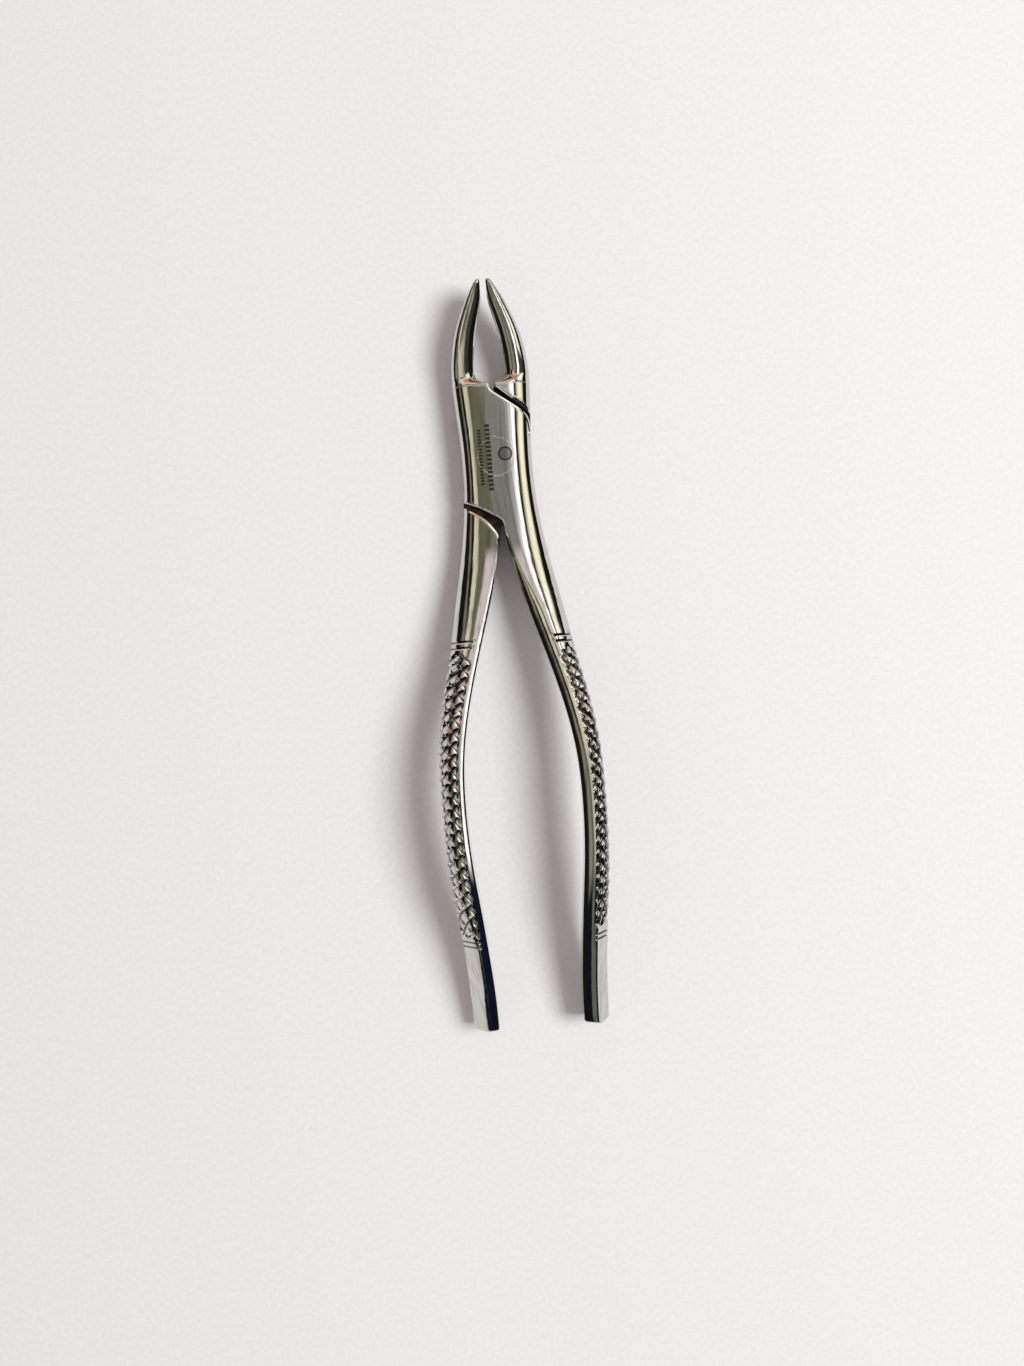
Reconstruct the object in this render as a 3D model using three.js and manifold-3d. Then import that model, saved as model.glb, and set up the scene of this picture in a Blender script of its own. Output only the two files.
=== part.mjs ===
// Dental extraction forceps, American pattern, for upper teeth: two forged stainless-steel halves that cross in a
// lap joint and turn on one flush rivet. Each half runs from a hollow beak, through a half-thickness plate, to a
// knurled, arched handle on the other side.
//
// Millimetres, +Z up. The forceps lies on its back: the origin is where the pivot axis meets the back face, +Y runs
// towards the beaks and +X to the right. The front half holds the left beak, the front plate and the right handle;
// the rear half holds the right beak, the rear plate and the left handle.

import * as THREE from "three";
import { mergeVertices } from "three/addons/utils/BufferGeometryUtils.js";
import Module from "manifold-3d";

const wasm = await Module();
wasm.setup();

// Driving dimensions
const HANDLE_END_Y = -136;
const BEAK_TIP_Y = 42.2;
const JOINT_FROM_Y = -19; // the joint's full width runs between the two crotches
const JOINT_TO_Y = 17.35;
const JOINT_THICKNESS = 9.5;
const SIDE_ROUND = 4.4; // how far the rounded sides of the joint reach in
const LAMINA_GAP = 0.24; // between the two plates, on the joint's middle plane
const RIVET_SHANK_R = 3;
const RIVET_HEAD_R = 4.35;
const RIVET_HEAD_DEPTH = 2.6; // of each countersunk head, flush with the plate around it
const RUNNING_CLEARANCE = 0.1; // radial, between the rivet and the half that turns on it
const FIXED_CLEARANCE = 0.05; // radial, between the rivet and the half it is set in
const THROAT_R = 3.85; // of the round opening between the beaks
const TIP_ROUND = 1.6;
const END_CHAMFER = 0.7;
const GRIP_FROM_Y = -112.6;
const GRIP_TEETH = 23; // rows of knurled teeth along a handle
const TOOTH_PITCH = 2.9;
const TOOTH_HEIGHT = 0.4;
const SMOOTH_STRIP = 1.6; // left plain along the inner edge of the grip
const GROOVE_DEPTH = 0.3;
const GROOVE_HALF_WIDTH = 0.35;
const END_GROOVES_Y = [-114.9, -113.7]; // fine rings at the two ends of the grip
const FRONT_GROOVES_Y = [-44.8, -43.4];
const RIGHT_POINTS = 11; // points down the right side of every section
const LEFT_POINTS = 10; // points up its left side

const MID = JOINT_THICKNESS / 2;
const THROAT_Y = JOINT_TO_Y + THROAT_R;

// A smooth function of y through a few [y, value] points.
function curve(points) {
  const ys = points.map(([y]) => y);
  const values = points.map(([, value]) => value);
  const spline = new THREE.CubicInterpolant(ys, values, 1);
  return (y) => spline.evaluate(y)[0];
}

// Distance from the middle line to the outer edge, from the handle's end to the beak's tip.
const outerEdge = curve([
  [HANDLE_END_Y, 16.2], [-128, 16.4], [-118, 16.9], [-108, 17.95], [-96, 19], [-82, 19.35], [-70, 19.05],
  [-58, 17.45], [-46, 14.85], [-34, 12.75], [-22, 10.35], [-12, 8.95], [-2, 8.5], [8, 8.8], [16, 9.35],
  [21, 9.35], [26, 8.75], [31, 7.45], [36, 5.3], [39.5, 3.4], [BEAK_TIP_Y, 1.5],
]);

// Distance from the middle line to the handle's inner edge.
const handleInnerEdge = curve([
  [HANDLE_END_Y, 10.2], [-128, 10.3], [-118, 10.9], [-108, 11.7], [-96, 12.85], [-82, 13.45], [-70, 12.9],
  [-58, 10.75], [-46, 7.55], [-34, 4.05], [-24, 1.65], [JOINT_FROM_Y, 0.75],
]);

// Distance from the middle line to the beak's inner edge, past the round throat.
const beakInnerEdge = curve([
  [THROAT_Y, THROAT_R], [24, 3.75], [27, 3.4], [30, 2.85], [33, 2.1], [36, 1.3], [38, 0.86], [40, 0.72],
  [BEAK_TIP_Y, 0.75],
]);

// Height of the middle of the section outside the joint: arched over the grip, lifted towards the tips.
const arch = curve([
  [HANDLE_END_Y, 4.5], [-128, 6.2], [-118, 8.5], [-106, 11.3], [-94, 13.2], [-82, 14.05], [-70, 13.45],
  [-58, 11.8], [-46, 9.45], [-34, 6.95], [-24, 5.3], [JOINT_FROM_Y, MID], [JOINT_TO_Y, MID], [22, 5.05],
  [30, 6.25], [36, 7.6], [BEAK_TIP_Y, 9.3],
]);

// Half the thickness of the section outside the joint.
const taper = curve([
  [HANDLE_END_Y, 4.45], [-118, 4.75], [-100, 4.95], [-80, 4.9], [-60, 4.65], [-44, 4.5], [-30, 4.6],
  [JOINT_FROM_Y, MID], [JOINT_TO_Y, MID], [19.3, 4.1], [26, 3.8], [33, 3.4], [39, 2.9], [BEAK_TIP_Y, 2.5],
]);

const inJoint = (y) => y > JOINT_FROM_Y && y < JOINT_TO_Y;
const middle = (y) => (inJoint(y) ? MID : arch(y));
const halfThickness = (y) => (inJoint(y) ? MID : taper(y));

function ellipseArc(x, z, reach, drop, fromDegrees, toDegrees, steps) {
  const [from, to] = [fromDegrees, toDegrees].map(THREE.MathUtils.degToRad);
  return new THREE.EllipseCurve(x, z, reach, drop, from, to, to < from).getPoints(steps);
}

// Sections are drawn for the front half, in points that all hold [x, height from the middle]. Every section has
// RIGHT_POINTS down its right side and LEFT_POINTS up its left side, so that one surface joins them all.

// The handle's knurled, rounded outside, from the plain strip in front to the plain strip behind.
function handleOutside(y, inset) {
  const half = halfThickness(y) - inset;
  const outer = outerEdge(y) - inset;
  const inner = handleInnerEdge(y) + SMOOTH_STRIP;
  const reach = Math.min(SIDE_ROUND, outer - inner - 0.2);
  const path = new THREE.Path();
  path.moveTo(inner, half);
  path.lineTo(outer - reach, half);
  path.absellipse(outer - reach, 0, reach, half, Math.PI / 2, -Math.PI / 2, true);
  path.lineTo(inner, -half);
  return path.getSpacedPoints(RIGHT_POINTS - 1);
}

// The handle's plain inside, whose soft corners fade out towards the joint.
function handleInside(y, inset) {
  const full = THREE.MathUtils.smoothstep(-y, -JOINT_FROM_Y, -JOINT_FROM_Y + 12);
  const reach = THREE.MathUtils.lerp(0.3, 1.2, full);
  const drop = THREE.MathUtils.lerp(0.4, 1.6, full);
  const x = handleInnerEdge(y) + inset + reach;
  const z = halfThickness(y) - inset - drop;
  const steps = LEFT_POINTS / 2 - 1;
  return [
    ...ellipseArc(x, -z, reach, drop, 270, 180, steps),
    ...ellipseArc(x, z, reach, drop, 180, 90, steps),
  ];
}

// The handle's section. lower(j) says how far the j-th point of the outside lies below the plain surface.
function handleSection(y, lower, inset = 0) {
  const plain = handleOutside(y, inset);
  const outside = plain.map((p, j) => {
    const isEdge = j === 0 || j === RIGHT_POINTS - 1;
    return isEdge || lower(j) === 0 ? p : handleOutside(y, inset + lower(j))[j];
  });
  return [...outside, ...handleInside(y, inset)];
}

// The joint's full section, both plates together, with rounded sides.
function jointSection(y) {
  const x = outerEdge(y) - SIDE_ROUND;
  return [
    ...ellipseArc(x, 0, SIDE_ROUND, MID, 90, -90, RIGHT_POINTS - 1),
    ...ellipseArc(-x, 0, SIDE_ROUND, MID, 270, 90, LEFT_POINTS - 1),
  ];
}

// The beak's section: convex outside, with two soft rims inside and a hollow between them to seat the tooth. Next
// to the joint it is still flat in front and behind, and it rounds off over a short shoulder.
function beakSection(y, shrink = 1) {
  const RIM = 150; // degrees round from the outermost point
  const RIM_STEPS = 3;
  const HOLLOW_STEPS = RIGHT_POINTS - 2 * RIM_STEPS + 1;
  const SHOULDER_END_Y = 19.4;
  const down = Math.max(0, (THROAT_Y - y) / THROAT_R);
  const inner = y < THROAT_Y ? THROAT_R * Math.sqrt(Math.max(0, 1 - down ** 2)) : beakInnerEdge(y);
  const width = outerEdge(y) - inner;
  const half = halfThickness(y) * shrink;
  const rounded = THREE.MathUtils.smoothstep(y, JOINT_TO_Y, SHOULDER_END_Y);
  const ridge = outerEdge(y) - THREE.MathUtils.lerp(SIDE_ROUND, 0.55 * width, rounded);
  const rim = [];
  for (let i = 1; i <= RIM_STEPS; i++) {
    const angle = THREE.MathUtils.degToRad(THREE.MathUtils.lerp(90, RIM, i / RIM_STEPS));
    const share = Math.cos(angle) / Math.cos(THREE.MathUtils.degToRad(RIM));
    const height = half * THREE.MathUtils.lerp(1, Math.sin(angle), rounded);
    rim.push(new THREE.Vector2(THREE.MathUtils.lerp(ridge, inner, share), height));
  }
  const depth = Math.min(1, 0.3 * width) * THREE.MathUtils.smoothstep(y, THROAT_Y, 30);
  const hollow = [];
  for (let i = 1; i < HOLLOW_STEPS; i++) {
    const t = THREE.MathUtils.lerp(1, -1, i / HOLLOW_STEPS);
    hollow.push(new THREE.Vector2(inner + depth * (1 - t * t), rim[RIM_STEPS - 1].y * t));
  }
  const mirrored = [...rim].reverse().map((p) => new THREE.Vector2(p.x, -p.y));
  const outside = ellipseArc(ridge, 0, outerEdge(y) - ridge, half, -90, 90, LEFT_POINTS - 1);
  return [...rim, ...hollow, ...mirrored, ...outside].map((p) => new THREE.Vector2(-p.x, p.y));
}

// The closed surface through a list of rings, with a fan over each end. Neighbouring cells are split along
// opposite diagonals, which turns the alternating points of the grip into four-sided teeth.
function loft(rings, flip) {
  const count = rings[0].length;
  const centre = (points) => points.reduce((sum, p) => sum.add(p), new THREE.Vector3()).divideScalar(count);
  const vertices = [...rings.flat(), centre(rings[0]), centre(rings[rings.length - 1])];
  const startCentre = rings.length * count;
  const endRing = startCentre - count;
  const index = [];
  const triangle = (a, b, c) => index.push(a, flip ? b : c, flip ? c : b);
  for (let j = 0; j < count; j++) {
    const k = (j + 1) % count;
    for (let i = 0; i + 1 < rings.length; i++) {
      const a = i * count;
      const b = a + count;
      if ((i + j) % 2 === 0) {
        triangle(a + j, b + k, a + k);
        triangle(a + j, b + j, b + k);
      } else {
        triangle(a + j, b + j, a + k);
        triangle(b + j, b + k, a + k);
      }
    }
    triangle(startCentre, j, k);
    triangle(startCentre + 1, endRing + k, endRing + j);
  }
  const geometry = new THREE.BufferGeometry().setFromPoints(vertices);
  geometry.setIndex(index);
  return geometry;
}

// One half before it is cut: handle, the joint's full block, beak. +1 is the front half, -1 its mirror image.
function blank(side) {
  const JUMP = 0.3; // from the handle's section to the joint's, at the crotch
  const END_RINGS = 5;
  const SHANK_RINGS = 11;
  const JOINT_RINGS = 7;
  const THROAT_RINGS = 8;
  const BLADE_RINGS = 10;
  const TIP_RINGS = [0.35, 0.65, 0.85, 0.97]; // parts of the tip's rounding
  const rings = [];
  const add = (y, section) => {
    rings.push(section.map((p) => new THREE.Vector3(side * p.x, y, middle(y) + p.y)));
  };
  const between = (from, to, steps, addAt) => {
    for (let i = 0; i <= steps; i++) {
      addAt(THREE.MathUtils.lerp(from, to, i / steps));
    }
  };
  const addPlain = (y) => add(y, handleSection(y, () => 0));
  const addGroove = (y) => {
    addPlain(y - GROOVE_HALF_WIDTH);
    add(y, handleSection(y, () => GROOVE_DEPTH));
    addPlain(y + GROOVE_HALF_WIDTH);
  };
  const addBeak = (y) => add(y, beakSection(y));

  add(HANDLE_END_Y, handleSection(HANDLE_END_Y, () => 0, END_CHAMFER));
  between(HANDLE_END_Y + END_CHAMFER, END_GROOVES_Y[0] - 1, END_RINGS, addPlain);
  END_GROOVES_Y.forEach(addGroove);
  const rows = 2 * GRIP_TEETH;
  const first = rings.length;
  for (let row = 0; row <= rows; row++) {
    const inGrip = row > 0 && row < rows;
    const y = GRIP_FROM_Y + (row * TOOTH_PITCH) / 2;
    add(y, handleSection(y, (j) => (inGrip && (first + row + j) % 2 === 0 ? TOOTH_HEIGHT : 0)));
  }
  FRONT_GROOVES_Y.forEach(addGroove);
  between(FRONT_GROOVES_Y[1] + 1.5, JOINT_FROM_Y, SHANK_RINGS, addPlain);
  between(JOINT_FROM_Y + JUMP, JOINT_TO_Y - JUMP, JOINT_RINGS, (y) => add(y, jointSection(y)));
  for (let i = 0; i < THROAT_RINGS; i++) {
    addBeak(THROAT_Y - THROAT_R * Math.cos((Math.PI / 2) * (i / THROAT_RINGS)));
  }
  const tipFrom = BEAK_TIP_Y - TIP_ROUND;
  between(THROAT_Y, tipFrom, BLADE_RINGS, addBeak);
  for (const along of TIP_RINGS) {
    const y = tipFrom + TIP_ROUND * along;
    add(y, beakSection(y, Math.sqrt(1 - along ** 2)));
  }
  return loft(rings, side < 0);
}

// A straight-walled cutter over an outline of [x, y] points, between two heights.
function prism(outline, fromZ, toZ) {
  const shape = new THREE.Shape(outline.map(([x, y]) => new THREE.Vector2(x, y)));
  const geometry = new THREE.ExtrudeGeometry(shape, { depth: toZ - fromZ, bevelEnabled: false });
  return geometry.translate(0, 0, fromZ);
}

// A solid turned about the pivot axis, from a profile of [radius, height] points.
function turned(profile) {
  const SEGMENTS = 48;
  const geometry = new THREE.LatheGeometry(profile.map(([r, z]) => new THREE.Vector2(r, z)), SEGMENTS);
  return geometry.rotateX(Math.PI / 2);
}

function toSolid(geometry) {
  const bare = geometry.clone();
  bare.deleteAttribute("normal");
  bare.deleteAttribute("uv");
  const merged = mergeVertices(bare, 1e-4);
  return new wasm.Manifold(new wasm.Mesh({
    numProp: 3,
    vertProperties: merged.attributes.position.array,
    triVerts: new Uint32Array(merged.index.array),
  }));
}

function toGeometry(solid) {
  const { vertProperties, triVerts } = solid.getMesh();
  const indexed = new THREE.BufferGeometry();
  indexed.setAttribute("position", new THREE.BufferAttribute(vertProperties, 3));
  indexed.setIndex(new THREE.BufferAttribute(triVerts, 1));
  const geometry = indexed.toNonIndexed();
  geometry.computeVertexNormals();
  return geometry;
}

// One half of the forceps: +1 is the front half, -1 the rear half, whose joint is the front half's turned over.
function forcepsHalf(side, clearance) {
  const FAR = 14; // past the widest part of the joint
  const BELOW = -2;
  const ABOVE = JOINT_THICKNESS + 2;
  // Outlines of what the plate leaves free, as they lie on the front half.
  const aboveThePlate = [[-0.5, 19], [-0.5, 16.9], [0.05, 15.6], [8.6, 9.3], [FAR, 5.2], [FAR, 19]];
  const belowThePlate = [
    [-FAR, -7.3], [-8.4, -10.2], [-5.4, -11.7], [-1, -14.3], [0.1, -15.2], [0.5, -16.2], [0.62, -18],
    [0.75, JOINT_FROM_Y - 0.1], [-FAR, JOINT_FROM_Y - 0.1],
  ];
  // The recess behind the plate, in which the other half's plate turns.
  const recess = [
    [-FAR, 5.5], [-8.3, 10.35], [-1.2, 16.4], [-0.7, 17], [-0.7, 19], [FAR, 19], [FAR, -7.95], [8.6, -11.7],
    [5, -14.2], [3.5, -15.3], [1.2, -18.6], [1.2, JOINT_FROM_Y - 0.2], [-FAR, JOINT_FROM_Y - 0.2],
  ];
  const slope = (RIVET_HEAD_R - RIVET_SHANK_R) / RIVET_HEAD_DEPTH;
  const bore = [
    [0, BELOW], [RIVET_SHANK_R + clearance, BELOW],
    [RIVET_SHANK_R + clearance, JOINT_THICKNESS - RIVET_HEAD_DEPTH],
    [RIVET_HEAD_R + clearance + 2 * slope, ABOVE], [0, ABOVE],
  ];
  const cutters = [
    prism(aboveThePlate, BELOW, ABOVE),
    prism(belowThePlate, BELOW, ABOVE),
    prism(recess, BELOW, MID + LAMINA_GAP / 2),
    turned(bore),
  ];
  const turn = side > 0 ? 0 : Math.PI;
  const cut = (solid, cutter) => {
    cutter.translate(0, 0, -MID).rotateY(turn).translate(0, 0, MID);
    return solid.subtract(toSolid(cutter));
  };
  return toGeometry(cutters.reduce(cut, toSolid(blank(side))));
}

// The rivet, with a countersunk head at each end.
function rivet() {
  const top = JOINT_THICKNESS;
  return turned([
    [0, 0], [RIVET_HEAD_R, 0], [RIVET_SHANK_R, RIVET_HEAD_DEPTH], [RIVET_SHANK_R, top - RIVET_HEAD_DEPTH],
    [RIVET_HEAD_R, top], [0, top],
  ]);
}

function named(name, geometry, color, roughness) {
  const mesh = new THREE.Mesh(geometry, new THREE.MeshStandardMaterial({ color, roughness, metalness: 1 }));
  mesh.name = name;
  return mesh;
}

const forceps = new THREE.Group();
forceps.add(
  named("front_half", forcepsHalf(1, RUNNING_CLEARANCE), 0xc9c8c2, 0.18),
  named("rear_half", forcepsHalf(-1, FIXED_CLEARANCE), 0xc6c5c1, 0.18),
  named("pivot_rivet", rivet(), 0xbdbcb6, 0.22),
);

export default forceps;
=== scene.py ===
"""Dental extraction forceps in polished stainless steel, lying on its back on a pale floor.

Each half is one smooth skin through many sections, cut by the recesses of the lap joint; its grip is real
geometry. Shapes are worked out in millimetres in the CAD frame: the pivot axis is at the origin, +Y runs
towards the beaks and +Z out of the front of the joint.
"""

import math
from dataclasses import dataclass

import bpy
import numpy as np
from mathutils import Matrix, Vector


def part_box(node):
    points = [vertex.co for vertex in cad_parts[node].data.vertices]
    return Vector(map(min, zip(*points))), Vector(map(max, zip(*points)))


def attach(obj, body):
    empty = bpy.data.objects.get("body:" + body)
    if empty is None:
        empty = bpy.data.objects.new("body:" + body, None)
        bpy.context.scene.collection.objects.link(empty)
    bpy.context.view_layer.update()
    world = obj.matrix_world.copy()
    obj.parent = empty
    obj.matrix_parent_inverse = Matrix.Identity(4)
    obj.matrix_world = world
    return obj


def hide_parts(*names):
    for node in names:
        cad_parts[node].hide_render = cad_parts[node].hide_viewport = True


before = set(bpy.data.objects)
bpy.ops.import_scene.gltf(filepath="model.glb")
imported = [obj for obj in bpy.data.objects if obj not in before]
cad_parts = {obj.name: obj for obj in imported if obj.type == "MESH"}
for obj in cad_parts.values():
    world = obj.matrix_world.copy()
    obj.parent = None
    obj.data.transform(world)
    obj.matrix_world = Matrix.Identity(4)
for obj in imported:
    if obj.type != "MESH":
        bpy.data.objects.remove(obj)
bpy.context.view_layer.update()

MM = 0.001

# Driving dimensions, in millimetres, from the frame
HANDLE_END_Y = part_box("front_half")[0].y / MM
BEAK_TIP_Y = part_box("front_half")[1].y / MM
JOINT_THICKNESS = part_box("pivot_rivet")[1].z / MM
RIVET_HEAD_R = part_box("pivot_rivet")[1].x / MM
MID = JOINT_THICKNESS / 2

# The joint
JOINT_FROM_Y = -19.0  # its full width runs between the two crotches
JOINT_TO_Y = 17.35
JOINT_JUMP = 0.25  # over which the sections change from the handle's to the joint's, and on to the beak's
RIGHT_CREST = 1.1  # from the pivot to the highest line on the right, where the handle joins
RIGHT_CREST_FADE = 12.0  # over which that line comes in to the middle
LEFT_CREST = 0.3  # from the pivot to the highest line on the left
LAMINA_GAP = 0.24
RIVET_SHANK_R = 3.0
RIVET_HEAD_DEPTH = 2.6
RIVET_SIDES = 96
RIVET_GAP = 0.012  # round the shank, and round each head along the middle of the joint
RIVET_BEVEL = 0.012  # width and drop of the tiny bevel round each head
RIVET_BEVEL_DROP = 0.006
EDGE_BREAK = 0.36  # width of the softened edge round each step
FINE_EDGE_BREAK = 0.14
EDGE_BREAK_DROP = 0.15
CUTTER_MARGIN = 2.0  # that the cutters run on in front of the joint and behind it
CUTTER_REACH = 14.0  # from the middle to the cutters' far sides, past the joint's edge

# The beaks
THROAT_R = 3.85
THROAT_Y = JOINT_TO_Y + THROAT_R
SHOULDER_FROM_Y = JOINT_TO_Y - 0.2
SHOULDER_TO_Y = 19.5
RIM_SHARE = 0.38  # of the beak's width, taken by the slope towards its rim
RIM_AT_JOINT = 0.3  # width of that slope where the beak starts
HOLLOW_DEPTH = 1.0  # at most, and as a share of the beak's width
HOLLOW_SHARE = 0.3
HOLLOW_FULL_Y = 30
TIP_ROUND = 1.6
TIP_TURN = 0.48 * math.pi  # the tip's rounding ends just short of a right angle, at a tiny end face

# The handles
END_CHAMFER = 0.7
END_FLAT = 0.2
GRIP_FROM_Y = -112.6
GRIP_TEETH = 23
TOOTH_PITCH = 2.9
GRIP_TO_Y = GRIP_FROM_Y + GRIP_TEETH * TOOTH_PITCH
CROSSING_DEPTH = 0.85  # of the crossing grooves, compared with the main ones
DEPTH_SPREAD = (-0.2, 0.15)  # how much shallower or deeper than the rest a groove may be, as shares
CORNER_TEETH = 0.75  # teeth left out where the upper end of the grip meets an inner edge
CALM_TEETH = 2.0  # teeth at either end of the grip over which its pattern starts to lean
HALF_GIRTH = 8.0  # from the inner edge of a handle to its outermost line
WANDERS = ((0.015, 1.6, 0.9), (0.012, 0.8, -1.0))  # waves in the lean: size, turn per tooth, turn per mm
RING_GROOVES_Y = (-114.9, -113.7, -44.8, -43.4)
RING_GROOVE_DEPTH = 0.3
RING_GROOVE_HALF_WIDTH = 0.4
RING_GROOVE_FADE = 6  # points over which a ring groove runs out at the inner edge
HANDLE_FULL_Y = JOINT_FROM_Y - 20  # the handle takes its full section between the joint and here
FLAT_AT_JOINT = 0.05  # width of its flat top there
EDGE_SCALE_AT_JOINT = (0.14, 0.5)  # its inner edge there, compared with the full one
STRIP_AT_JOINT = 0.35  # width of the plain strip there
END_SHAPE_FROM_Y = GRIP_FROM_Y - 3  # the flatter section of its end runs out between these two
END_SHAPE_TO_Y = GRIP_FROM_Y + 12

# The power of a section's rounded side: 2 is an ellipse, more is squarer, less is nearer to a slanting flat
END_POWER = 1.15
HANDLE_POWER = 2.0
JOINT_POWER = 3.0
BEAK_POWER = 2.7
JOINT_POWER_FROM_Y = -42
JOINT_POWER_TO_Y = -5

# How finely the skin is divided
RIGHT_POINTS = 81  # points down the right side of every section
OUTERMOST = RIGHT_POINTS // 2
LEFT_POINTS = 57  # points up its left side
ARC_POINTS = 9  # round each arc of an inner edge
END_RINGS = 7  # round the chamfer at the end of a handle
END_SPACING = 0.8  # of the rings between that end and the grip
SHANK_SPACING = 0.6  # of the rings between the grip and the joint
GRIP_STEP = 0.25  # between the grip's rings and the plain ones
LEVEL_SPACING = 0.5  # of the plain sections that the grip's rings are taken from
JOINT_RINGS = 60
THROAT_RINGS = 25
BEAK_RINGS = 50
TIP_RINGS = 11

# Inner edges, as arcs from the wall to the top: the radius, and the slopes in degrees at the arc's two ends
FRONT_HANDLE_EDGE = ((8, 42, 31), (5, 30, 20.5), (6, 20, 13), (2, 13, 0))
REAR_HANDLE_EDGE = ((3, 42, 33), (7, 12, 0))
BEAK_EDGE = ((7.4, 44, 34), (5, 28, 17))

# The etched marks on the front
BAR_ROWS = (  # place across the joint, half width, half length, pitch, and share of the pitch that is filled
    (-1.75, 0.58, 8.0, 1.0, 0.7),
    (-3.7, 0.42, 6.6, 0.75, 0.66),
)
DISC_X = 2.1
DISC_Y = 0.5
DISC_R = 1.5
DISC_RIM_HALF_WIDTH = 0.22
DISC_SHADE = 0.45  # of the disc inside its rim
MARKS_FROM_Z = 0.8 * JOINT_THICKNESS

# The steel
STEEL = (0.68, 0.67, 0.65)
STEEL_ROUGHNESS = 0.05
SMUDGED = (0.93, 0.92, 0.89)  # what a smudge leaves of the steel's colour
STREAKED = (0.55, 0.55, 0.55)  # what a streak leaves of it
# near black: painted shade at the bottom of the grooves, and the colour of the etched marks
GROOVE_SHADE_AND_ETCH = (0.045, 0.04, 0.038)
BUFFING_STRETCH = 0.035  # how fast the buffing pattern changes along the handles, compared with across them
LINE_DEPTH = 0.0004  # of the fine lines, the streaks and the ripples
STREAK_DEPTH = 0.018
RIPPLE_DEPTH = 0.03
MILLING_DEPTH = 0.002  # of the milling marks inside the joint

# Where each zone of the studio takes over: where it starts and is complete, in radians towards the beaks
LOWER_ZONE = (0.12, 0.02)
LOWEST_ZONE = (-0.3, -0.44)
SKY_ZONE = (0.22, 0.38)
HIGH_ZONE = (0.5, 0.6)
WARM_ZONE = (0.82, 0.92)
DARK_ZONE = (1.12, 1.2)
SKY_EDGE = (0.14, 0.26)  # and, for the two patches, where they fade out to either side
WARM_EDGE = (0.45, 0.65)

# The camera, in millimetres and degrees
CAMERA_X = -0.63
CAMERA_Y = -53.8
CAMERA_HEIGHT = 290.0  # above the front of the joint
CAMERA_FRAME = 323.2  # height of the picture, measured there
CAMERA_TURN = -4.6


@dataclass
class Handle:
    """What differs between the hand-finished handles."""
    seed: int
    strip: float  # width left plain along the inner edge of the grip
    fade: int  # samples over which the grooves run out there
    samples: int  # per tooth; a divisor of RIGHT_POINTS - 1
    steep: float  # share of the pitch that the steep side of a tooth takes: 0.5 where both are alike
    depth: float  # of the grooves
    lean: float  # how far the pattern runs towards the beaks, for each millimetre outwards
    edge: tuple  # the arcs of its inner edge


# Curves along the forceps

def spline(points, start=None, end=None):
    """A smooth function of y through [y, value] points. start and end fix its slope at either end."""
    y, v = np.array(points, float).T
    h, n = np.diff(y), len(y)
    system, right = np.eye(n), np.zeros(n)
    slopes = np.diff(v) / h
    for i in range(1, n - 1):
        system[i, i - 1:i + 2] = h[i - 1], 2 * (h[i - 1] + h[i]), h[i]
        right[i] = 6 * (slopes[i] - slopes[i - 1])
    if start is not None:
        system[0, :2] = 2 * h[0], h[0]
        right[0] = 6 * (slopes[0] - start)
    if end is not None:
        system[-1, -2:] = h[-1], 2 * h[-1]
        right[-1] = 6 * (end - slopes[-1])
    bend = np.linalg.solve(system, right)

    def value(at):
        i = min(max(int(np.searchsorted(y, at)) - 1, 0), n - 2)
        a, b = (y[i + 1] - at) / h[i], (at - y[i]) / h[i]
        curve = (a ** 3 - a) * bend[i] + (b ** 3 - b) * bend[i + 1]
        return a * v[i] + b * v[i + 1] + curve * h[i] ** 2 / 6

    return value


outer_edge = spline([
    (HANDLE_END_Y, 16.2), (-128, 16.4), (-118, 16.9), (-108, 17.95), (-96, 19), (-82, 19.34), (-70, 19.05),
    (-58, 17.5), (-46, 14.95), (-34, 12.65), (-22, 10.35), (-12, 8.95), (-2, 8.5), (8, 8.8), (16, 9.3),
    (21, 9.35), (26, 8.75), (31, 7.45), (36, 5.3), (39.5, 3.4), (BEAK_TIP_Y, 1.5),
])
handle_inner_edge = spline([
    (HANDLE_END_Y, 10.2), (-128, 10.3), (-118, 10.9), (-108, 11.7), (-96, 12.85), (-82, 13.45), (-70, 12.9),
    (-58, 10.75), (-46, 7.55), (-34, 4.05), (-24, 1.65), (JOINT_FROM_Y, 0.75),
])
beak_inner_edge = spline([
    (THROAT_Y, THROAT_R), (24, 3.75), (27, 3.4), (30, 2.85), (33, 2.1), (36, 1.3), (38, 0.86), (40, 0.72),
    (BEAK_TIP_Y, 0.75),
], start=0)
handle_arch = spline([
    (HANDLE_END_Y, 4.5), (-128, 6.2), (-118, 8.5), (-106, 11.3), (-94, 13.2), (-82, 14.0), (-70, 13.4),
    (-58, 11.6), (-46, 9.15), (-34, 6.75), (-26, 5.38), (JOINT_FROM_Y, MID),
], end=0)
beak_lift = spline([
    (JOINT_TO_Y, MID), (22, 5.25), (26, 5.9), (30, 6.55), (36, 7.75), (BEAK_TIP_Y, 9.3),
], start=0)
handle_half = spline([
    (HANDLE_END_Y, 4.45), (-118, 4.75), (-100, 4.9), (-80, 4.88), (-60, 4.65), (-44, 4.5), (-30, 4.6),
    (JOINT_FROM_Y, MID),
], end=0)
beak_half = spline([(SHOULDER_TO_Y, 3.75), (24, 3.85), (29, 3.7), (33, 3.45), (39, 2.9), (BEAK_TIP_Y, 2.5)])


def ramp(at, low, high):
    """0 at low, 1 at high, smooth in between."""
    t = min(max((at - low) / (high - low), 0.0), 1.0)
    return t * t * (3 - 2 * t)


def mix(a, b, t):
    return a + (b - a) * t


def middle(y):
    if y < JOINT_FROM_Y:
        return handle_arch(y)
    return beak_lift(y) if y > JOINT_TO_Y else MID


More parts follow.
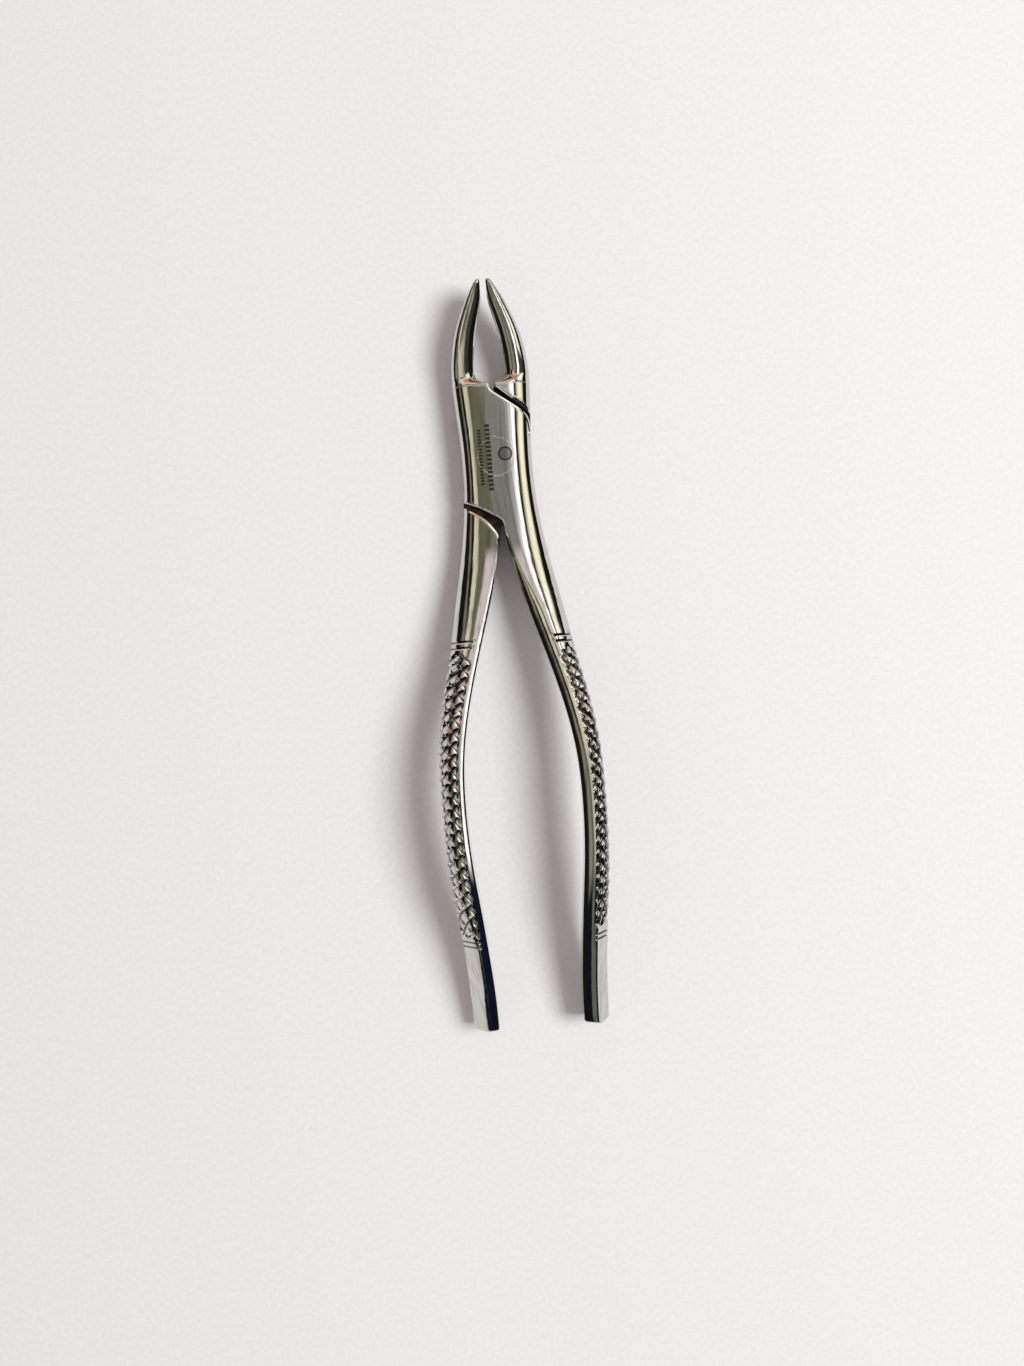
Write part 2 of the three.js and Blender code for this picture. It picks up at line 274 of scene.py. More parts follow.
def squareness(y):
    """The power of the rounded side of the handle's and the joint's sections."""
    if y < END_SHAPE_TO_Y:
        return mix(END_POWER, HANDLE_POWER, ramp(y, END_SHAPE_FROM_Y, END_SHAPE_TO_Y))
    return mix(HANDLE_POWER, JOINT_POWER, ramp(y, JOINT_POWER_FROM_Y, JOINT_POWER_TO_Y))


# Sections, drawn for the front half as arrays of (x, height from the middle)

def rounded_quarter(crest, outer, half, power, count=120):
    """From (crest, half) to the outermost point."""
    turn = np.linspace(0, math.pi / 2, count)
    return np.c_[crest + (outer - crest) * np.sin(turn) ** (2 / power), half * np.cos(turn) ** (2 / power)]


def resample(points, start, end, count):
    """Evenly spaced points along a line, between two distances along it."""
    along = np.r_[0, np.cumsum(np.hypot(*np.diff(points, axis=0).T))]
    at = np.linspace(start, along[-1] if end is None else end, count)
    return np.c_[np.interp(at, along, points[:, 0]), np.interp(at, along, points[:, 1])]


def there_and_back(front):
    """A run of points from the front to the outermost point, and on to its mirror image at the back."""
    return np.vstack([front, front[-2::-1] * (1, -1)])


def round_side(crest, outer, half, power, count):
    return there_and_back(resample(rounded_quarter(crest, outer, half, power), 0, None, count // 2 + 1))


def soft_edge(arcs):
    """Points that start on a wall and turn over it, measured from the wall and from the last one's height."""
    points = [(0.0, 0.0)]
    for radius, first, last in arcs:
        x, z = points[-1]
        slope = np.radians(np.linspace(first, last, ARC_POINTS))
        rise = radius * (np.cos(slope) - np.cos(slope[0]))
        points += list(zip(x + radius * (np.sin(slope[0]) - np.sin(slope)), z + rise))[1:]
    return np.array(points) - (0, points[-1][1])


def handle_section(y, handle, inset=0.0):
    """The first of the right points lies where the plain strip along the inner edge ends."""
    full = ramp(y, JOINT_FROM_Y, HANDLE_FULL_Y)
    flat = mix(FLAT_AT_JOINT, 0.0, full) + END_FLAT * ramp(y, END_SHAPE_TO_Y, END_SHAPE_FROM_Y)
    half = handle_half(y) - inset
    inner = handle_inner_edge(y) + inset
    edge = soft_edge(handle.edge) * [mix(scale, 1.0, full) for scale in EDGE_SCALE_AT_JOINT] + (inner, half)
    side = rounded_quarter(edge[-1, 0] + flat, outer_edge(y) - inset, half, squareness(y))
    front = np.vstack([edge, side])
    along = np.r_[0, np.cumsum(np.hypot(*np.diff(front, axis=0).T))]
    start = np.interp(inner + mix(STRIP_AT_JOINT, handle.strip, full), front[:, 0], along)
    outside = there_and_back(resample(front, start, None, OUTERMOST + 1))
    first_arc = ARC_POINTS - 1
    strip = resample(front, along[first_arc], start, LEFT_POINTS // 2 - first_arc + 1)[:-1]
    high = np.vstack([edge[:first_arc], strip])
    return np.vstack([outside, high[::-1] * (1, -1), [(inner, 0.0)], high])


def joint_section(y):
    near_handle = 1 - ramp(y, JOINT_FROM_Y, JOINT_FROM_Y + RIGHT_CREST_FADE)
    right = round_side(mix(0.0, RIGHT_CREST, near_handle), outer_edge(y), MID, squareness(y), RIGHT_POINTS)
    left = round_side(LEFT_CREST, outer_edge(y), MID, squareness(y), LEFT_POINTS)[::-1] * (-1, 1)
    return np.vstack([right, left])


def beak_section(y, shrink=1.0):
    """Rounded outside, with a slope inside down to two rims, and a hollow between them to seat the tooth."""
    rim = soft_edge(BEAK_EDGE)[::-1]
    rim = rim / rim[0, 0]
    down = max(0.0, (THROAT_Y - y) / THROAT_R)
    inner = THROAT_R * math.sqrt(max(0.0, 1 - down ** 2)) if y < THROAT_Y else beak_inner_edge(y)
    outer = outer_edge(y)
    width = outer - inner
    rounded = ramp(y, SHOULDER_FROM_Y, SHOULDER_TO_Y)
    half = (mix(MID, beak_half(SHOULDER_TO_Y), rounded) if y < SHOULDER_TO_Y else beak_half(y)) * shrink
    slope = mix(RIM_AT_JOINT, RIM_SHARE * width, rounded)
    rim = rim * (slope, slope * rounded * shrink) + (inner, half)
    depth = min(HOLLOW_DEPTH, HOLLOW_SHARE * width) * ramp(y, THROAT_Y, HOLLOW_FULL_Y)
    t = np.linspace(1, -1, RIGHT_POINTS - 2 * len(rim) + 4)[1:-1]
    hollow = np.c_[inner + depth * (1 - t * t), rim[-1, 1] * t]
    inside = np.vstack([rim[1:], hollow, rim[:0:-1] * (1, -1)])
    power = mix(JOINT_POWER, BEAK_POWER, rounded)
    outside = round_side(inner + slope, outer, half, power, LEFT_POINTS)[::-1]
    return np.vstack([inside, outside]) * (-1, 1)


# The cut teeth of the grip

def place(y, section):
    return np.c_[section[:, 0], np.full(len(section), y), middle(y) + section[:, 1]]


def sink(points, depth):
    """Moves the right points of a placed section straight into the metal."""
    tangent = np.gradient(points[:RIGHT_POINTS], axis=0)
    normal = np.c_[-tangent[:, 2], np.zeros(RIGHT_POINTS), tangent[:, 0]]
    points[:RIGHT_POINTS] -= normal / np.linalg.norm(normal, axis=1)[:, None] * np.reshape(depth, (-1, 1))
    return points


def inwards():
    """How many samples each right point lies from the nearer inner edge."""
    column = np.arange(RIGHT_POINTS)
    return np.minimum(column, RIGHT_POINTS - 1 - column)


def grooves(rng, handle):
    """A function of the row that says how deep the crossed grooves are there, from 0 to 1.

    The main grooves may be lopsided, like those of a file.
    """
    samples, rows, steep = handle.samples, GRIP_TEETH * handle.samples, handle.steep
    strength = 1 + rng.uniform(*DEPTH_SPREAD, (2, GRIP_TEETH + RIGHT_POINTS // samples + 4))

    def cut(row):
        inside = inwards()
        along = (row + inside) / samples
        past = along - np.floor(along)
        main = np.where(past < steep, 1 - past / steep, (past - steep) / (1 - steep))
        main *= strength[0][np.rint(along).astype(int)]
        across = (row - inside + OUTERMOST) / samples
        nearest = np.rint(across).astype(int)
        notch = np.clip(1 - np.abs(across - nearest) / steep, 0, 1) * CROSSING_DEPTH * strength[1][nearest]
        corner = np.clip((rows - CORNER_TEETH * samples - row + inside) / (steep * samples), 0, 1)
        end = np.clip(min(row, rows - row) / (steep * samples), 0, 1)
        return np.maximum(main, notch) * np.clip(inside / handle.fade, 0, 1) * corner * end

    return cut


def grip_rings(handle):
    """Rings whose points follow the leaning pattern, so that every groove runs along the mesh."""
    rng = np.random.default_rng(handle.seed)
    samples, rows = handle.samples, GRIP_TEETH * handle.samples
    even = np.arange(GRIP_FROM_Y - 2 * LEVEL_SPACING, GRIP_TO_Y + 3 * LEVEL_SPACING, LEVEL_SPACING)
    levels = np.array([place(y, handle_section(y, handle)) for y in even])
    outwards = np.r_[inwards() / OUTERMOST, np.zeros(LEFT_POINTS)] * HALF_GIRTH
    phases = rng.uniform(0, 2 * math.pi, 2)
    cut = grooves(rng, handle)
    columns = np.arange(RIGHT_POINTS + LEFT_POINTS)
    rings = []
    for row in range(rows + 1):
        y = GRIP_FROM_Y + row * TOOTH_PITCH / samples
        calm = ramp(min(row, rows - row), 0, CALM_TEETH * samples)
        teeth = row / samples
        wander = sum(size * np.sin(by_tooth * teeth + by_mm * outwards + phase)
                     for (size, by_tooth, by_mm), phase in zip(WANDERS, phases))
        at = (y + calm * outwards * (handle.lean + wander) - even[0]) / LEVEL_SPACING
        lower = at.astype(int)
        share = (at - lower)[:, None]
        points = levels[lower, columns] * (1 - share) + levels[lower + 1, columns] * share
        depth = cut(row)
        rings.append((sink(points, handle.depth * depth), depth))
    return rings


def plain_rings(low, high, spacing, handle):
    """Plain metal with the ring grooves in it."""
    near = [g + d * RING_GROOVE_HALF_WIDTH for g in RING_GROOVES_Y for d in (-1, -0.5, 0, 0.5, 1)]
    even = np.linspace(low, high, int(round((high - low) / spacing)) + 1)
    clear = 1.3 * RING_GROOVE_HALF_WIDTH
    far = [y for y in even if min(abs(y - g) for g in RING_GROOVES_Y) > clear]
    rings = []
    for y in sorted(far + [y for y in near if low < y < high]):
        off = min(abs(y - g) for g in RING_GROOVES_Y) / RING_GROOVE_HALF_WIDTH
        share = max(0.0, 1 - off) * np.clip(inwards() / RING_GROOVE_FADE, 0, 1)
        # a ring groove's share, square-rooted, is its cut value, which the steel turns into painted shade
        rings.append((sink(place(y, handle_section(y, handle)), RING_GROOVE_DEPTH * share), share ** 0.5))
    return rings


def half_rings(handle):
    """(points, cut) for every ring, from the end of the handle to the beak's tip."""
    plain = np.zeros(RIGHT_POINTS)
    rings = []
    for turn in np.linspace(0, math.pi / 2, END_RINGS):
        inset = END_CHAMFER * (1 - math.sin(turn))
        y = HANDLE_END_Y + END_CHAMFER * (1 - math.cos(turn))
        rings.append((place(y, handle_section(y, handle, inset)), plain))
    end_step = 0.6
    rings += plain_rings(HANDLE_END_Y + END_CHAMFER + end_step, GRIP_FROM_Y - GRIP_STEP, END_SPACING, handle)
    rings += grip_rings(handle)
    rings += plain_rings(GRIP_TO_Y + GRIP_STEP, JOINT_FROM_Y, SHANK_SPACING, handle)
    for y in np.linspace(JOINT_FROM_Y + JOINT_JUMP, JOINT_TO_Y - JOINT_JUMP, JOINT_RINGS):
        rings.append((place(y, joint_section(y)), plain))
    for turn in np.linspace(0, math.pi / 2, THROAT_RINGS + 1)[:-1]:
        y = THROAT_Y - THROAT_R * math.cos(turn)
        rings.append((place(y, beak_section(y)), plain))
    tip_from = BEAK_TIP_Y - TIP_ROUND
    for y in np.linspace(THROAT_Y, tip_from, BEAK_RINGS):
        rings.append((place(y, beak_section(y)), plain))
    for turn in np.linspace(0, TIP_TURN, TIP_RINGS + 1)[1:]:
        y = tip_from + TIP_ROUND * math.sin(turn)
        rings.append((place(y, beak_section(y, math.cos(turn))), plain))
    return rings


# Meshes

# the pocket slot holds oxidised steel with painted shade for the joint's gaps
POLISHED, POCKET = 0, 1  # material slots: the outside, and the walls and floors left by the cutters


def make_object(name, vertices, faces):
    mesh = bpy.data.meshes.new(name)
    mesh.from_pydata([tuple(v) for v in np.asarray(vertices) * MM], [], faces)
    mesh.update()
    obj = bpy.data.objects.new(name, mesh)
    bpy.context.scene.collection.objects.link(obj)
    return obj


def keep(obj, name, values):
    """Stores one number for every vertex, for the materials."""
    attribute = obj.data.attributes.new(name, "FLOAT", "POINT")
    attribute.data.foreach_set("value", np.asarray(values, np.float32).ravel())


def lanes(points):
    """How far each point lies from the line that the buffing follows there, in metres."""
    return [MM * ((outer_edge(y) if y < JOINT_TO_Y else 0.0) - x) for x, y, _ in points]


def skin(name, rings, side):
    """The closed surface through the rings, mirrored for side -1."""
    count = RIGHT_POINTS + LEFT_POINTS
    vertices = [points * (side, 1, 1) for points, cut in rings]
    cuts = [np.r_[cut, np.zeros(LEFT_POINTS)] for points, cut in rings]
    depth = np.array(cuts)
    faces = []

    def add(*corners):
        faces.append(corners if side > 0 else corners[::-1])

    for i in range(len(rings) - 1):
        a, b = i * count, (i + 1) * count
        for j in range(count):
            k = (j + 1) % count
            rise = abs(depth[i, j] - depth[i + 1, k])
            fall = abs(depth[i, k] - depth[i + 1, j])
            if rise == fall:
                add(a + j, a + k, b + k, b + j)
            elif rise < fall:
                add(a + j, a + k, b + k)
                add(a + j, b + k, b + j)
            else:
                add(a + j, a + k, b + j)
                add(a + k, b + k, b + j)
    add(*range(count - 1, -1, -1))
    last = (len(rings) - 1) * count
    add(*range(last, last + count))
    obj = make_object(name, np.vstack(vertices), faces)
    # the grooves' depth, which the steel also turns into painted shade in them
    keep(obj, "cut", depth)
    keep(obj, "lane", [lane for points, cut in rings for lane in lanes(points)])
    return obj


def joint_surface(x, y):
    """Height of the joint's rounded front surface above its middle."""
    y = min(max(y, JOINT_FROM_Y), JOINT_TO_Y)
    power = squareness(y)
    return MID * (1 - min(abs(x) / outer_edge(y), 1.0) ** power) ** (1 / power)


def smooth_line(points, steps=8):
    """A Catmull-Rom curve through the points."""
    p = np.array(points, float)
    p = np.vstack([2 * p[0] - p[1], p, 2 * p[-1] - p[-2]])
    line = []
    for i in range(1, len(p) - 2):
        for t in np.linspace(0, 1, steps, endpoint=False):
            a, b, c, d = p[i - 1:i + 3]
            line.append(0.5 * (2 * b + (c - a) * t + (2 * a - 5 * b + 4 * c - d) * t ** 2
                               + (3 * b - a - 3 * c + d) * t ** 3))
    return np.array(line + [p[-2]])


def step_cutter(edge, closing, low, high, facing, edge_break):
    """A straight-walled cutter over an outline, whose wall flares where it leaves the joint's surface.

    edge is the smooth part of the outline and closing the rest of its corners. facing is +1 for a flare at
    the front surface and -1 for one at the back. edge_break is a function of y that gives the flare's width.
    """
    outline = np.vstack([smooth_line(edge), np.array(closing, float)])
    x, y = outline.T
    if np.sum(x * np.roll(y, -1) - np.roll(x, -1) * y) < 0:
        outline = outline[::-1]
    before, after = outline - np.roll(outline, 1, 0), np.roll(outline, -1, 0) - outline
    along = before / np.linalg.norm(before, axis=1)[:, None] + after / np.linalg.norm(after, axis=1)[:, None]
    out = np.c_[along[:, 1], -along[:, 0]] / np.linalg.norm(along, axis=1)[:, None]
    x, y = outline.T
    least = 0.5  # keeps the flare clear of the cutter's own floor, past the edge of the joint
    surface = np.maximum([joint_surface(px, py) for px, py in outline], least + EDGE_BREAK_DROP)
    flare = out * np.reshape([edge_break(py) for py in y], (-1, 1))
    wide = outline + flare
    wide_surface = np.maximum([joint_surface(px, py) for px, py in wide], least + EDGE_BREAK_DROP)
    wider = outline + 2 * flare
    levels = [
        (outline, np.full(len(x), low if facing > 0 else high)),
        (outline, MID + facing * (surface - EDGE_BREAK_DROP)),
        (wide, MID + facing * wide_surface),
        (wider, MID + facing * (wide_surface + EDGE_BREAK_DROP)),
        (wider, np.full(len(x), high if facing > 0 else low)),
    ]
    vertices = np.vstack([np.c_[xy, z] for xy, z in levels])
    n = len(outline)
    faces = [tuple(range(n))[::-1], tuple(range(4 * n, 5 * n))]
    finish = [POCKET, POCKET]
    for level in range(4):
        for j in range(n):
            k = (j + 1) % n
            a, b = level * n, (level + 1) * n
            faces.append((a + j, a + k, b + k, b + j))
            finish.append(POLISHED if level in (1, 2) else POCKET)
    if facing < 0:
        faces = [f[::-1] for f in faces]
    return vertices, faces, finish


def turned(profile, segments):
    """A solid turned about the pivot axis from (radius, height) points that start and end on the axis."""
    vertices = [(0.0, 0.0, profile[0][1])]
    for r, z in profile[1:-1]:
        for k in range(segments):
            turn = 2 * math.pi * k / segments
            vertices.append((r * math.cos(turn), r * math.sin(turn), z))
    vertices.append((0.0, 0.0, profile[-1][1]))
    faces = []
    rows = len(profile) - 2
    last = len(vertices) - 1
    for k in range(segments):
        n = (k + 1) % segments
        faces.append((0, 1 + n, 1 + k))
        for row in range(rows - 1):
            a, b = 1 + row * segments, 1 + (row + 1) * segments
            faces.append((a + k, a + n, b + n, b + k))
        top = 1 + (rows - 1) * segments
        faces.append((top + k, top + n, last))
    return np.array(vertices), faces


def joint_cutters():
    """What the front half's plate leaves free, and its rivet hole, drawn for the front half."""
    below, above = -CUTTER_MARGIN, JOINT_THICKNESS + CUTTER_MARGIN
    far = CUTTER_REACH
    widening = (-20.5, -18.5)  # between these two, the recess goes over from the fine edge to the wide one
    over_plate = step_cutter(
        [(-0.55, 19.2), (-0.55, 17.2), (-0.3, 16.2), (0.45, 15.35), (4, 12.75), (6.6, 10.9), (7.9, 9.7),
         (8.55, 8.3), (8.9, 6), (9.3, 4.6), (far, 3.5)],
        [(far, 19.2)], below, above, 1, lambda y: EDGE_BREAK)
    under_plate = step_cutter(
        [(-far, -7.3), (-10.5, -9.1), (-8.4, -10.2), (-5.4, -11.7), (-3, -13.2), (-1, -14.4), (0, -15.2),
         (0.45, -16.3), (0.62, -18), (0.78, JOINT_FROM_Y - 0.2)],
        [(-far, JOINT_FROM_Y - 0.2)], below, above, 1, lambda y: FINE_EDGE_BREAK)
    recess = step_cutter(
        [(far, -7.6), (10.5, -10.1), (8.6, -11.35), (7, -12.5), (5.1, -13.75), (3.55, -14.95), (2.25, -16.65),
         (1.15, -18.4), (1.15, -20), (1.4, -22.5), (1.6, -24.6)],
        [(-far, -24.6), (-far, 5.5), (-8.3, 10.5), (-4.8, 13.4), (-1.3, 16.35), (-0.8, 17.1), (-0.8, 19.2),
         (far, 19.2)], below, MID + LAMINA_GAP / 2, -1,
        lambda y: mix(FINE_EDGE_BREAK, EDGE_BREAK, ramp(y, *widening)))
    slope = (RIVET_HEAD_R - RIVET_SHANK_R) / RIVET_HEAD_DEPTH
    shank, head = RIVET_SHANK_R + RIVET_GAP, RIVET_HEAD_R + RIVET_GAP
    vertices, faces = turned([(0, below), (shank, below), (shank, JOINT_THICKNESS - RIVET_HEAD_DEPTH),
                              (head, JOINT_THICKNESS), (head + CUTTER_MARGIN * slope, above), (0, above)],
                             RIVET_SIDES)
    return over_plate, under_plate, recess, (vertices, faces, [POCKET] * len(faces))


def shade(obj, angle=16):
    obj.data.shade_smooth()
    obj.data.set_sharp_from_angle(angle=math.radians(angle))


def cut_away(obj, cutters, side):
    """Subtracts the cutters, turned over about the joint's middle plane for side -1."""
    tools = []
    for number, (vertices, faces, finish) in enumerate(cutters):
        placed = vertices if side > 0 else np.c_[-vertices[:, 0], vertices[:, 1], 2 * MID - vertices[:, 2]]
        tool = make_object(f"cutter_{number}", placed, faces)
        for material in obj.data.materials:
            tool.data.materials.append(material)
        tool.data.polygons.foreach_set("material_index", finish)
        modifier = obj.modifiers.new(f"cut_{number}", "BOOLEAN")
        modifier.operation, modifier.solver, modifier.object = "DIFFERENCE", "EXACT", tool
        tools.append(tool)
    bpy.context.view_layer.update()
    evaluated = obj.evaluated_get(bpy.context.evaluated_depsgraph_get())
    mesh = bpy.data.meshes.new_from_object(evaluated)
    obj.modifiers.clear()
    obj.data = mesh
    for tool in tools:
        bpy.data.objects.remove(tool)


def forceps_half(name, node, body, side, handle, materials):
    obj = skin(name, half_rings(handle), side)
    for material in materials:
        obj.data.materials.append(material)
    cut_away(obj, joint_cutters(), side)
    shade(obj)
    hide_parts(node)
    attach(obj, body)


def rivet(material):
    """The rivet, whose heads are ground flush with the rounded faces of the joint.

    Its rims drop with those faces, while the bores are straight cones, so to the left and right of the middle
    each head reaches a few hundredths of a millimetre into the plate around it.
    """
    top = JOINT_THICKNESS
    rim = RIVET_HEAD_R - RIVET_BEVEL
    face = [(r * rim, 0.0) for r in np.linspace(0, 1, 10)]
    lower = face + [(RIVET_HEAD_R, RIVET_BEVEL_DROP), (RIVET_SHANK_R, RIVET_HEAD_DEPTH)]
    vertices, faces = turned(lower + [(r, top - z) for r, z in lower[::-1]], RIVET_SIDES)
    for point in vertices:
        depth = min(point[2], top - point[2])
        if depth < RIVET_HEAD_DEPTH / 2:
            surface = joint_surface(point[0], point[1])
            point[2] = MID + math.copysign(surface - depth, point[2] - MID)
    obj = make_object("pivot_rivet_polished", vertices, faces)
    keep(obj, "lane", lanes(vertices))
    shade(obj, 10)
    obj.data.materials.append(material)
    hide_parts("pivot_rivet")
    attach(obj, "rear")


# Materials

class Nodes:
    """A node tree, built from nodes whose sockets are given by number or by name."""

    def __init__(self, tree):
        self.tree = tree
        tree.nodes.clear()

    def add(self, kind, sockets, **settings):
        node = self.tree.nodes.new(kind)
        for name, value in settings.items():
            setattr(node, name, value)
        for socket, value in sockets.items():
            if isinstance(value, bpy.types.NodeSocket):
                self.tree.links.new(value, node.inputs[socket])
            else:
                node.inputs[socket].default_value = value
        return node

    def math(self, operation, *values):
        return self.add("ShaderNodeMath", dict(enumerate(values)), operation=operation).outputs[0]

    def between(self, value, low, high, at_low=0.0, at_high=1.0):
        sockets = dict(enumerate((value, low, high, at_low, at_high)))
        return self.add("ShaderNodeMapRange", sockets, interpolation_type="SMOOTHSTEP").outputs[0]

    def mix(self, factor, a, b):
        colours = {6: (*a, 1) if isinstance(a, tuple) else a, 7: (*b, 1) if isinstance(b, tuple) else b}
        return self.add("ShaderNodeMix", {0: factor, **colours}, data_type="RGBA").outputs[2]

    def noise(self, place, scale, detail, roughness=0.5):
        sockets = {"Vector": place, "Scale": scale, "Detail": detail, "Roughness": roughness}
        return self.add("ShaderNodeTexNoise", sockets).outputs["Fac"]

    def scaled(self, place, scale):
        return self.add("ShaderNodeMapping", {0: place, 3: scale}).outputs[0]

    def bump(self, height, distance, normal=None):
        sockets = {"Height": height, "Distance": distance, "Strength": 1.0}
        if normal:
            sockets["Normal"] = normal
        return self.add("ShaderNodeBump", sockets).outputs[0]

    def place(self):
        return self.add("ShaderNodeTexCoord", {}).outputs["Object"]


def new_material(name):
    material = bpy.data.materials.new(name)
    material.use_nodes = True
    return material, Nodes(material.node_tree)


def finish_material(nodes, sockets):
    shader = nodes.add("ShaderNodeBsdfPrincipled", sockets)
    nodes.add("ShaderNodeOutputMaterial", {"Surface": shader.outputs[0]})


def etched_marks(n, place):
    """How dark the marks of the front face are: two rows of blank bars, and a disc with a darker rim."""
    x, y, z = n.add("ShaderNodeSeparateXYZ", {0: n.scaled(place, (1 / MM,) * 3)}).outputs

    def row(at_x, half_width, half_length, pitch, filled):
        across = n.math("LESS_THAN", n.math("ABSOLUTE", n.math("SUBTRACT", x, at_x)), half_width)
        along = n.math("LESS_THAN", n.math("ABSOLUTE", y), half_length)
        past = n.math("FRACT", n.math("DIVIDE", n.math("ADD", y, half_length), pitch))
        bar = n.math("LESS_THAN", past, filled)
        return n.math("MULTIPLY", n.math("MULTIPLY", across, along), bar)

    def squared_distance(value, centre):
        return n.math("POWER", n.math("ABSOLUTE", n.math("SUBTRACT", value, centre)), 2.0)

    away = n.math("SQRT", n.math("ADD", squared_distance(x, DISC_X), squared_distance(y, DISC_Y)))
    rim = n.math("LESS_THAN", n.math("ABSOLUTE", n.math("SUBTRACT", away, DISC_R)), DISC_RIM_HALF_WIDTH)
    disc = n.math("MULTIPLY", n.math("LESS_THAN", away, DISC_R), DISC_SHADE)
    bars = n.math("MAXIMUM", *[row(*sizes) for sizes in BAR_ROWS])
    marks = n.math("MAXIMUM", bars, n.math("MAXIMUM", rim, disc))
    return n.math("MULTIPLY", marks, n.math("GREATER_THAN", z, MARKS_FROM_Z))


def shaded(colour, shares):
    return tuple(c * share for c, share in zip(colour, shares))


def polished_steel(name, marked, painted_shade_from, painted_shade_to):
    """Hand-polished stainless steel: buffing lines along the handles, smudges, and painted shade in the cuts.

    The painted shade in a cut begins at the share painted_shade_from of its full depth, and is fully dark
    from painted_shade_to on.
    """
    material, n = new_material(name)
    place = n.place()
    lane = n.add("ShaderNodeAttribute", {}, attribute_name="lane").outputs["Fac"]
    y, z = n.add("ShaderNodeSeparateXYZ", {0: place}).outputs[1:]
    stretched = n.math("MULTIPLY", y, BUFFING_STRETCH)
    drawn = n.add("ShaderNodeCombineXYZ", {0: lane, 1: stretched, 2: z}).outputs[0]
    lines = n.noise(drawn, scale=5200.0, detail=3.0, roughness=0.6)
    streaks = n.noise(drawn, scale=900.0, detail=4.0, roughness=0.6)
    ripple = n.noise(drawn, scale=330.0, detail=2.0)
    smudge = n.noise(place, scale=110.0, detail=5.0, roughness=0.62)
    cut = n.add("ShaderNodeAttribute", {}, attribute_name="cut").outputs["Fac"]
    # painted shade in the grooves, growing with their depth
    dark = n.between(cut, painted_shade_from, painted_shade_to)
    if marked:
        dark = n.math("MAXIMUM", dark, etched_marks(n, place))
    smudged = n.between(smudge, 0.35, 0.75, at_low=STEEL_ROUGHNESS * 0.7, at_high=STEEL_ROUGHNESS * 1.7)
    rough = n.math("ADD", smudged, n.between(lines, 0.45, 0.75, at_high=0.04))
    rough = n.math("ADD", rough, n.math("MULTIPLY", dark, 0.15))
    tint = n.mix(n.between(smudge, 0.3, 0.7), STEEL, shaded(STEEL, SMUDGED))
    tint = n.mix(n.between(streaks, 0.48, 0.68, at_high=0.75), tint, shaded(STEEL, STREAKED))
    # turns the grooves' painted shade and the etched marks near black
    tint = n.mix(n.math("MULTIPLY", dark, 0.92), tint, GROOVE_SHADE_AND_ETCH)
    normal = n.bump(lines, LINE_DEPTH * MM)
    normal = n.bump(streaks, STREAK_DEPTH * MM, normal)
    normal = n.bump(ripple, RIPPLE_DEPTH * MM, normal)
    finish_material(n, {"Base Color": tint, "Metallic": 1.0, "Roughness": rough, "Normal": normal})
    return material


def pocket_oxide_and_shade():
    """The milled walls and floors inside the joint: unpolished, oxidised steel, with painted shade that turns
    it near black in the joint's gaps.
    """
    material, n = new_material("pocket_oxide_and_shade")
    place = n.place()
    patches = n.noise(place, scale=700.0, detail=4.0, roughness=0.6)
    # near black for painted shade in the joint's gaps, in patches towards brown oxide
    colour = n.mix(n.between(patches, 0.3, 0.75), (0.025, 0.023, 0.02), (0.13, 0.105, 0.075))
    rough = n.between(patches, 0.3, 0.7, at_low=0.24, at_high=0.45)
    milling = n.noise(n.scaled(place, (1.0, 1.0, 0.1)), scale=3000.0, detail=2.0)
    normal = n.bump(milling, MILLING_DEPTH * MM)
    finish_material(n, {"Base Color": colour, "Metallic": 1.0, "Roughness": rough, "Normal": normal})
    return material


def floor_material():
    material, n = new_material("pale_floor")
    grain = n.noise(n.place(), scale=900.0, detail=3.0)
    colour = n.mix(n.between(grain, 0.3, 0.7), (0.84, 0.83, 0.84), (0.88, 0.87, 0.88))
    finish_material(n, {"Base Color": colour, "Roughness": 0.9})
    return material


# Stage

def add_floor():
    """A plain floor, a hair below the flat back of the joint so that the two faces don't coincide."""
    size = 600.0
    height = -0.02
    corners = [(-size, -size, height), (size, -size, height), (size, size, height), (-size, size, height)]
    floor = make_object("floor", np.array(corners), [(0, 1, 2, 3)])
    floor.data.materials.append(floor_material())


def panels(n, angle, stops):
    """Bands of colour by an angle in radians, given as (degrees, colour)."""
    half = math.pi / 2
    position = n.add("ShaderNodeMapRange", {0: angle, 1: -half, 2: half}).outputs[0]
    node = n.add("ShaderNodeValToRGB", {0: position})
    bands = node.color_ramp.elements
    while len(bands) < len(stops):
        bands.new(0.5)
    for band, (degrees, colour) in zip(bands, stops):
        band.position = (degrees + 90) / 180
        band.color = (*colour, 1)
    return node.outputs[0]


BLACK = (0.01, 0.01, 0.01)
SOOT = (0.05, 0.05, 0.042)
OLIVE = (0.17, 0.17, 0.11)
DARK_TAN = (0.22, 0.2, 0.15)
SLATE = (0.16, 0.175, 0.145)
PINK = (1.0, 0.84, 0.82)
CREAM = (1.4, 1.34, 1.1)
WHITE = (2.0, 2.0, 2.0)
NIGHT_BLUE = (0.007, 0.011, 0.032)
PALE_SKY = (0.85, 0.75, 0.75)
ORANGE = (0.75, 0.27, 0.1)
ROOM_LIGHT = (0.42, 0.38, 0.37)  # the plain surroundings, seen by all but mirrored rays


